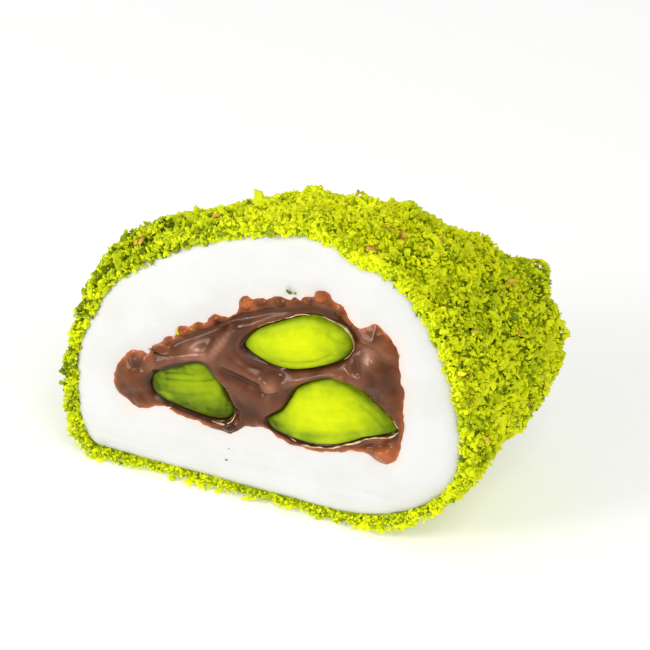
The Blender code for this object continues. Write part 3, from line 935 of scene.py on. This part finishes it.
def build_kernel_skins(settings):
    """Make the thin strips of skin that still cling to the kernels' edges, as one piece."""
    points, faces, places = [], [], []
    steps, sides = 70, 8
    for strip, (breadth, corners) in enumerate(SKIN_STRIPS):
        line = smooth_line(corners, steps)
        along = np.gradient(line, axis=0)
        away = np.stack([-along[:, 1], along[:, 0]], axis=-1) / np.hypot(*along.T)[:, None]
        taper = np.sin(math.pi * np.linspace(0.04, 0.96, steps)) ** 0.5
        taper = taper * (0.85 + 0.5 * lumps(line, 0.9, 40 + strip))
        wobble = 0.10 * lumps(line, 0.8, 46 + strip)
        lift = 0.05 + 0.18 * lumps(line, 1.5, 52 + strip)
        for side in range(sides):
            angle = 2.0 * math.pi * side / sides
            shift = 0.5 * breadth * taper * math.cos(angle) + wobble
            proud = lift + 0.25 * taper * math.sin(angle)
            points.append(on_face(line + away * shift[:, None], proud))
        first = strip * sides * steps
        tube = quads_between(sides, steps, first, closed=False)
        closing = np.arange(steps - 1)
        last = first + (sides - 1) * steps
        seam = np.stack([last + closing, last + closing + 1, first + closing + 1,
                         first + closing], axis=-1)
        caps = first + np.stack([np.arange(sides) * steps,
                                 (np.arange(sides) * steps + steps - 1)[::-1]])
        low = strip / len(SKIN_STRIPS)
        high = (strip + 0.9) / len(SKIN_STRIPS)
        rows = strip_map(sides + 1, steps, low, high, closed=False)
        faces += [tube, seam, caps]
        places += [rows[: len(tube)], rows[len(tube):], np.full((2, sides, 2), (low + high) / 2.0)]
    skin = seed_skin("dried_kernel_skin", "#a87a48", "#f2dca8", 0.5)
    return make_piece("kernel_skins", np.vstack(points), faces, places, skin,
                      "pistachio_kernel")


# ---------------------------------------------------------------- crushed pistachio

BED_POINTS = 360
BED_INSET = 1.1               # how far the crumbs' bed lies inside the coat's outside
BED_LIFT = 0.35               # how far its underside is off the floor


# Thick and thin places in the coat: x, depth behind the cut, z, how far it spreads, how high
HEAPS = [
    (-20.5, 2.0, 22.0, 5.0, 0.9), (-17.8, 7.0, 24.6, 6.0, 1.5), (-2.1, 16.3, 30.6, 2.0, 1.3),
    (22.8, 22.3, 23.2, 2.5, 2.7), (26.0, 22.3, 18.6, 2.6, 1.2), (5.0, 21.0, 28.5, 6.0, -1.0),
    (12.0, 21.0, 28.8, 5.0, -0.7), (-24.5, 4.0, 6.0, 3.0, 0.5),
]


# Where the coat is painted lighter or darker as painted light and shade, in the same form, the last
# number a change of tone
PAINTED_LIGHT_PATCHES = [
    (-17.0, 5.0, 24.0, 9.0, -0.45), (20.0, 10.0, 22.0, 8.0, -0.06),
    (3.0, 8.0, 34.0, 8.0, 0.12), (20.0, 8.0, 8.0, 7.0, 0.28),
    (24.5, 13.0, 21.0, 4.5, -0.13), (12.0, 10.0, 31.0, 6.0, 0.08),
    (-24.3, 1.0, 9.0, 6.0, -0.30), (-23.5, 0.5, 17.0, 3.0, -0.20),
]


def near_patches(points, patches):
    """Return the sum of some soft round patches' values over each place."""
    total = np.zeros(points.shape[:-1])
    for x, depth, z, reach, value in patches:
        away = np.linalg.norm(points - ORIGIN - (x, depth, z), axis=-1)
        total += value * np.exp(-(away / reach) ** 2)
    return total


def clump_height(points, settings):
    """Return how high the crumbs heap up over each place, in clumps a few millimetres across."""
    clumps = 1.1 * lumps(points, 4.0, 50) + 1.25 * lumps(points, 2.0, 51)
    return np.maximum(settings.clumps / MM * clumps + near_patches(points, HEAPS), -0.45)


def build_bed(material, settings):
    """Make the bed of packed fine crumbs that the loose ones lie on, closed under the nougat."""
    count = BED_POINTS
    nougat = loaf_rings(COAT_THICKNESS + CLEARANCE, [0.0], count)[0]
    edge = []
    for out, back in ((-1.2, 2.4), (-0.5, 1.6), (-0.1, 1.1), (0.15, 0.9), (0.35, 0.9)):
        ring = nougat.copy()
        ring[:, [0, 2]] = grown(nougat[:, [0, 2]], out)
        ring[:, 1] += back
        edge.append(ring)
    fractions = ring_fractions(0.045, 100)
    sides = loaf_rings(BED_INSET, fractions, count)
    # The bed is packed down almost to the floor.
    sides[..., 2] -= (BED_INSET - BED_LIFT) * eased(3.0 - sides[..., 2], 0.0, 3.0 - BED_INSET)
    rings = np.concatenate([edge, sides])
    along = np.gradient(rings, axis=0)
    around = np.roll(rings, -1, axis=1) - np.roll(rings, 1, axis=1)
    outwards = np.cross(around, along)
    outwards /= np.linalg.norm(outwards, axis=-1, keepdims=True) + 1e-12
    points = rings.reshape(-1, 3)
    outside = loaf_rings(0.0, fractions, count)
    above = np.concatenate([edge, outside]).reshape(-1, 3)
    relief = clump_height(above, settings) + 0.30 * lumps(points, 0.75, 52)
    relief *= eased(above[:, 1] - ORIGIN[1], 0.5, 4.0)
    relief = np.where(points[:, 2] < 1.0, relief * 0.3, relief)
    points = points + outwards.reshape(-1, 3) * relief[:, None]
    points[:, 2] = np.maximum(points[:, 2], 0.25)
    faces = quads_between(len(rings), count)
    places = strip_map(len(rings), count, 0.06, 1.0)
    cap = ((len(rings) - 1) * count + np.arange(count))[None]
    turn = np.arange(count) / count * 2.0 * math.pi
    disc = 0.025 + 0.02 * np.stack([np.cos(turn), np.sin(turn)], axis=-1)[None]
    # Painted shade: the bed under the crumbs is toned darker than the crumbs, as the gaps between
    # them are.
    tone = 0.30 + 0.3 * lumps(points, 0.8, 53) + 0.3 * lumps(points, 3.6, 54)
    # Painted light and shade from the patches
    tone += near_patches(points, PAINTED_LIGHT_PATCHES)
    piece = make_piece("coat_bed", points, [faces, cap], [places, disc], material,
                       "crushed_pistachio", tone=np.clip(tone, 0.05, 0.8))
    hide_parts("pistachio_coat")
    return piece


def coat_places(count, rng):
    """Return places spread by area over the coat's outside, with their outward directions."""
    rings = loaf_rings(0.0, [0.0, *ring_fractions(0.04, 80), 1.0], 240)
    corners = rings.reshape(-1, 3)[quads_between(len(rings), 240)]
    diagonal, other = corners[:, 2] - corners[:, 0], corners[:, 3] - corners[:, 1]
    outwards = np.cross(diagonal, other)
    area = np.linalg.norm(outwards, axis=1)
    outwards /= area[:, None] + 1e-12
    picked = rng.choice(len(corners), count, p=area / area.sum())
    u, v = rng.random((2, count, 1))
    near, beside, far_beside, far = corners[picked].transpose(1, 0, 2)
    places = (near * (1 - u) + beside * u) * (1 - v) + (far * (1 - u) + far_beside * u) * v
    return places, outwards[picked]


def spaced(places, spacing):
    """Return which places to keep so that each cube of that spacing holds at most one."""
    cells = np.floor(places / spacing).astype(int)
    return np.sort(np.unique(cells, axis=0, return_index=True)[1])


def any_turns(count, rng):
    """Return count rotation matrices that point every way alike."""
    w, x, y, z = (q := rng.normal(size=(4, count))) / np.linalg.norm(q, axis=0)
    return np.array([
        [1 - 2 * (y * y + z * z), 2 * (x * y - z * w), 2 * (x * z + y * w)],
        [2 * (x * y + z * w), 1 - 2 * (x * x + z * z), 2 * (y * z - x * w)],
        [2 * (x * z - y * w), 2 * (y * z + x * w), 1 - 2 * (x * x + y * y)],
    ]).transpose(2, 0, 1)


def crumb_base(kind):
    """Return the points and triangles of the block that crumbs of a kind are broken from."""
    shape = bmesh.new()
    if kind == "block":
        bmesh.ops.create_cube(shape, size=1.2)
        bmesh.ops.triangulate(shape, faces=shape.faces)
    else:
        bmesh.ops.create_icosphere(shape, subdivisions=1 if kind == "grain" else 2, radius=1.0)
    points = np.array([vertex.co[:] for vertex in shape.verts])
    faces = np.array([[vertex.index for vertex in face.verts] for face in shape.faces])
    shape.free()
    return points, faces


def scatter_crumbs(name, kind, places, sizes, tones, material, rng, flat=1.0):
    """Break one crumb for each place and join them into one piece, each with its own map cell."""
    base, triangles = crumb_base(kind)
    count = len(places)
    jagged = 0.11 if kind == "shard" else 0.20
    broken = base * (1.0 + rng.normal(0.0, jagged, (count, len(base), 1)))
    broken += rng.normal(0.0, 0.6 * jagged, (count, len(base), 3))
    broken *= rng.uniform((0.8, 0.5, 0.35 * flat), (1.6, 1.0, 0.85 * flat), (count, 3))[:, None]
    turned = np.einsum("nij,nvj->nvi", any_turns(count, rng), broken)
    points = turned * (sizes / 2.0)[:, None, None] + places[:, None]
    lowest = points[..., 2].min(axis=1)
    points[..., 2] += np.maximum(0.02 - lowest, 0.0)[:, None]
    faces = (np.arange(count)[:, None, None] * len(base) + triangles).reshape(-1, 3)
    side = math.ceil(math.sqrt(count))
    cell = np.stack([np.arange(count) % side, np.arange(count) // side], axis=-1)
    seen = broken[..., :2] / (np.abs(broken[..., :2]).max(axis=(1, 2), keepdims=True) * 2.0)
    local = (cell[:, None] + 0.5 + seen * 0.8) / side
    map_places = local[:, triangles].reshape(-1, 3, 2)
    return make_piece(name, points.reshape(-1, 3), [faces], [map_places], material,
                      "crushed_pistachio", smooth=False, tone=np.repeat(tones, len(base)))


# Crumbs on the coat, coarse to fine: base, how many, smallest and largest size, spacing
COAT_CRUMBS = {
    "crumbs_coarse": ("shard", 900, 0.95, 1.6, 1.5),
    "crumbs_middling": ("grain", 8500, 0.60, 0.98, 0.50),
    "crumbs_small": ("grain", 9000, 0.42, 0.70, 0.38),
    "crumbs_fine": ("block", 15500, 0.28, 0.50, 0.28),
}


def build_coat_crumbs(material, settings):
    """Make the loose crumbs on the bed, one piece for each size."""
    rng = np.random.default_rng(settings.seed)
    for name, (kind, wanted, smallest, largest, spacing) in COAT_CRUMBS.items():
        places, outwards = coat_places(wanted * 3, rng)
        keep = spaced(places, spacing)
        keep = rng.permutation(keep)[:wanted]
        under = places[keep, 2] < 0.5
        keep = keep[~under | (rng.random(len(keep)) < 0.4)]
        places, outwards = places[keep], outwards[keep]
        sizes = smallest + (largest - smallest) * rng.random(len(places)) ** 1.6
        sink = rng.uniform(0.1, 0.75, len(places)) + sizes * 0.3
        tones = 0.68 + 0.20 * rng.normal(size=len(places)) + 0.35 * lumps(places, 3.6, 54)
        # Besides random tone, patches of painted light and shade
        tones += 0.25 * lumps(places, 1.6, 55) + near_patches(places, PAINTED_LIGHT_PATCHES)
        # Painted shade: crumbs that sink deeper among the others are darker.
        tones -= 0.45 * (sink - 0.7)
        places = places + outwards * (clump_height(places, settings) - sink)[:, None]
        scatter_crumbs(name, kind, places, sizes, np.clip(tones, 0.05, 1.0), material, rng)


RIM_CRUMBS = 4200


def build_rim_crumbs(material, settings):
    """Make the ragged crumbs along the cut edge, some smeared a little over the white."""
    rng = np.random.default_rng(settings.seed + 1)
    count = RIM_CRUMBS
    outline = smooth_loop(NOUGAT_OUTLINE, 2400)
    outline[:, 1] = np.maximum(outline[:, 1], SETTLE)
    place = rng.integers(0, len(outline), count)
    ahead = outline[(place + 3) % len(outline)] - outline[(place - 3) % len(outline)]
    outwards = np.stack([-ahead[:, 1], ahead[:, 0]], axis=-1) / np.hypot(*ahead.T)[:, None]
    ragged = 0.35 * lumps(outline[place], 1.6, 60) + 0.2 * lumps(outline[place], 0.6, 61)
    under = eased(-outwards[:, 1], 0.3, 0.9)
    out = rng.uniform(-0.2, 1.25, count) + ragged * 0.8
    out = out * (1.0 - 0.45 * under) + 0.30 * under
    spots = outline[place] + outwards * out[:, None]
    proud = rng.uniform(-0.95, 0.1, count) - 0.25 * np.maximum(0.6 - out, 0.0)
    sizes = rng.uniform(0.35, 0.85, count) * (1.0 - 0.35 * under)
    places = on_face(spots, proud)
    places[:, 2] = np.maximum(places[:, 2], 0.3)
    tones = 0.62 + 0.2 * rng.normal(size=count) + 0.25 * lumps(places, 2.0, 62)
    # Painted light and shade from the patches, at half strength
    tones += 0.5 * near_patches(places, PAINTED_LIGHT_PATCHES)
    scatter_crumbs("crumbs_rim", "grain", places, sizes, np.clip(tones, 0.05, 1.0), material, rng)


# Crumbs that strayed on to the cut: x, z, size, tone
FACE_SPECKS = [
    (1.6, 26.3, 1.1, 0.02), (2.2, 26.4, 0.6, 0.15), (-10.8, 18.0, 0.9, 0.55), (-18.7, 0.9, 0.6, 0.0),
    (-3.9, 3.5, 0.35, 0.0), (-3.7, 5.0, 0.3, 0.0), (-9.4, 18.7, 0.5, 0.45), (14.8, 22.2, 0.4, 0.30),
]


def build_face_specks(material, settings):
    """Make the few crumbs that the knife left on the white and in the cream's edge."""
    rng = np.random.default_rng(settings.seed + 3)
    x, z, sizes, tones = np.array(FACE_SPECKS).T
    places = on_face(np.stack([x, z], axis=-1), 0.1 + 0.1 * sizes)
    scatter_crumbs("face_specks", "grain", places, sizes, tones, material, rng, flat=0.6)


# Where flakes of seed skin lie together: x, depth behind the cut, z, how many
FLAKE_SPOTS = [
    (10.9, 6.8, 33.2, 9), (9.6, 1.4, 33.1, 4), (21.8, 12.3, 25.9, 2), (20.8, 0.8, 21.3, 3),
    (23.4, 1.2, 17.6, 3), (-17.6, 2.8, 25.3, 4), (-6.5, 1.2, 31.9, 3),
]


def build_skin_flakes(settings):
    """Make the few tan flakes of seed skin among the crumbs, singly and in small clusters."""
    rng = np.random.default_rng(settings.seed + 2)
    places, outwards = coat_places(7000, rng)
    behind = places[:, 1] - ORIGIN[1] > 1.2
    picked = [np.flatnonzero(behind)[:70]]
    for x, depth, z, wanted in FLAKE_SPOTS:
        away = np.linalg.norm(places - ORIGIN - (x, depth, z), axis=-1)
        picked.append(np.argsort(away)[:wanted])
    picked = np.concatenate(picked)
    places, outwards = places[picked], outwards[picked]
    sizes = rng.uniform(0.4, 1.2, len(places))
    coat = clump_height(places, settings) - rng.uniform(0.15, 0.5, len(places))
    places = places + outwards * coat[:, None]
    skin = seed_skin("red_seed_skin", "#b8742c", "#f2d048", 0.6)
    scatter_crumbs("skin_flakes", "grain", places, sizes, np.full(len(places), 0.5), skin, rng,
                   flat=0.5)


# ---------------------------------------------------------------- stage

def build_floor(settings):
    """Make the pale floor, an even matt sheet, and the white surroundings."""
    material, tree, shader = new_material("matt_board")
    place = add_node(tree, "TexCoord").outputs["Object"]
    # Board fibres are far too fine to show, so the faint unevenness is drawn at 3 mm.
    fibre = add_node(tree, "TexNoise", values={"Scale": per_metre(3.0), "Detail": 2.0},
                     links={"Vector": place})
    tint = add_node(tree, "ValToRGB", links={"Fac": fibre.outputs["Fac"]},
                    ramp=[(0.3, [value * 0.99 for value in settings.floor]),
                          (0.7, tuple(settings.floor))])
    tree.links.new(tint.outputs["Color"], shader.inputs["Base Color"])
    # Lamps under the sheet keep it white to its far edge.
    shader.inputs["Emission Color"].default_value = (1.0, 1.0, 1.0, 1.0)
    shader.inputs["Emission Strength"].default_value = 0.3
    shader.inputs["Roughness"].default_value = 0.9
    mesh = bpy.data.meshes.new("floor")
    half = 6.0
    mesh.from_pydata([(-half, -half, 0), (half, -half, 0), (half, half, 0), (-half, half, 0)],
                     [], [(0, 1, 2, 3)])
    mesh.materials.append(material)
    floor = bpy.data.objects.new("floor", mesh)
    bpy.context.scene.collection.objects.link(floor)


def add_soft_light(name, place, aim, width, power):
    """Add a round soft light at a place in metres, turned to its aim."""
    light = bpy.data.lights.new(name, "AREA")
    light.shape = "DISK"
    light.size = width
    light.energy = power
    lamp = bpy.data.objects.new(name, light)
    lamp.location = place
    lamp.rotation_euler = (Vector(aim) - Vector(place)).to_track_quat("-Z", "Y").to_euler()
    bpy.context.scene.collection.objects.link(lamp)


def add_camera(settings):
    """Add the camera, looking down at the cut from its right."""
    aim = Vector((0.0, -0.4, 17.3)) * MM
    azimuth, elevation = settings.azimuth, settings.elevation
    backwards = Vector((math.sin(azimuth) * math.cos(elevation),
                        -math.cos(azimuth) * math.cos(elevation), math.sin(elevation)))
    right = Vector((math.cos(azimuth), math.sin(azimuth), 0.0))
    up = backwards.cross(right)
    lean = Matrix((right, up, backwards)).transposed().to_4x4()
    data = bpy.data.cameras.new("camera")
    data.lens = 245.0
    data.clip_start = 0.01
    camera = bpy.data.objects.new("camera", data)
    camera.matrix_world = (Matrix.Translation(aim + backwards * 0.5) @ lean
                           @ Matrix.Rotation(settings.roll, 4, "Z"))
    bpy.context.scene.collection.objects.link(camera)
    bpy.context.scene.camera = camera


def build_lights():
    """Light the food from above and in front, with white all round."""
    world = bpy.data.worlds.new("white_surroundings")
    world.use_nodes = True
    tree = world.node_tree
    # A soft, even light reaches the food, while the backdrop itself looks as white as the floor.
    seen = add_node(tree, "LightPath").outputs["Is Camera Ray"]
    strength = add_node(tree, "MapRange", values={"To Min": 0.48, "To Max": 0.74},
                        links={"Value": seen})
    background = tree.nodes["Background"]
    background.inputs["Color"].default_value = (1.0, 1.0, 1.0, 1.0)
    tree.links.new(strength.outputs["Result"], background.inputs["Strength"])
    bpy.context.scene.world = world
    aim = (0.0, 0.0, 0.015)
    add_soft_light("key", (0.25, -0.38, 0.50), aim, 0.30, 1.2)
    add_soft_light("side", (-0.47, -0.36, 0.19), aim, 0.18, 0.55)
    add_soft_light("catch", (-0.30, -0.48, 0.27), aim, 0.20, 1.3)
    bpy.context.scene.view_settings.view_transform = "Standard"


# ---------------------------------------------------------------- operators and panel

class DELIGHT_OT_nougat(bpy.types.Operator):
    """Make the white nougat loaf."""
    bl_idname = "delight.nougat"
    bl_label = "Nougat"

    def execute(self, context):
        build_nougat(context.scene.delight_nougat)
        return {"FINISHED"}


class DELIGHT_OT_cream(bpy.types.Operator):
    """Make the chocolate cream."""
    bl_idname = "delight.cream"
    bl_label = "Chocolate Cream"

    def execute(self, context):
        build_cream(context.scene.delight_cream)
        return {"FINISHED"}


class DELIGHT_OT_kernels(bpy.types.Operator):
    """Make the three cut kernels and the skin on their edges."""
    bl_idname = "delight.kernels"
    bl_label = "Pistachio Kernels"

    def execute(self, context):
        settings = context.scene.delight_kernels
        material = cut_kernel(settings)
        for name in KERNELS:
            build_kernel(name, material, settings)
        build_kernel_skins(settings)
        return {"FINISHED"}


class DELIGHT_OT_coat(bpy.types.Operator):
    """Make the crushed pistachio: its bed, the crumbs on it and the ragged rim."""
    bl_idname = "delight.coat"
    bl_label = "Pistachio Coat"

    def execute(self, context):
        settings = context.scene.delight_coat
        material = crushed_pistachio(settings)
        build_bed(material, settings)
        build_coat_crumbs(material, settings)
        build_rim_crumbs(material, settings)
        build_face_specks(material, settings)
        build_skin_flakes(settings)
        return {"FINISHED"}


class DELIGHT_OT_stage(bpy.types.Operator):
    """Set the floor, the lights and the camera."""
    bl_idname = "delight.stage"
    bl_label = "Stage"

    def execute(self, context):
        settings = context.scene.delight_stage
        build_floor(settings)
        build_lights()
        add_camera(settings)
        return {"FINISHED"}


class DELIGHT_PT_panel(bpy.types.Panel):
    """Settings and steps for the piece of Turkish delight."""
    bl_idname = "DELIGHT_PT_panel"
    bl_label = "Turkish Delight"
    bl_space_type = "VIEW_3D"
    bl_region_type = "UI"
    bl_category = "Turkish Delight"

    def draw(self, context):
        for operator, key in STEPS:
            box = self.layout.box()
            settings = getattr(context.scene, key)
            for name in settings.bl_rna.properties.keys():
                if name not in {"rna_type", "name"}:
                    box.prop(settings, name)
            box.operator(operator.bl_idname)


STEPS = [
    (DELIGHT_OT_nougat, "delight_nougat"),
    (DELIGHT_OT_cream, "delight_cream"),
    (DELIGHT_OT_kernels, "delight_kernels"),
    (DELIGHT_OT_coat, "delight_coat"),
    (DELIGHT_OT_stage, "delight_stage"),
]


def register():
    for key, group in SETTINGS.items():
        bpy.utils.register_class(group)
        setattr(bpy.types.Scene, key, PointerProperty(type=group))
    for operator, _ in STEPS:
        bpy.utils.register_class(operator)
    bpy.utils.register_class(DELIGHT_PT_panel)


def unregister():
    bpy.utils.unregister_class(DELIGHT_PT_panel)
    for operator, _ in reversed(STEPS):
        bpy.utils.unregister_class(operator)
    for key, group in reversed(SETTINGS.items()):
        delattr(bpy.types.Scene, key)
        bpy.utils.unregister_class(group)


def main():
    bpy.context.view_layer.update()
    register()
    bpy.ops.delight.nougat()
    bpy.ops.delight.cream()
    bpy.ops.delight.kernels()
    bpy.ops.delight.coat()
    bpy.ops.delight.stage()


if __name__ == "__main__":
    main()
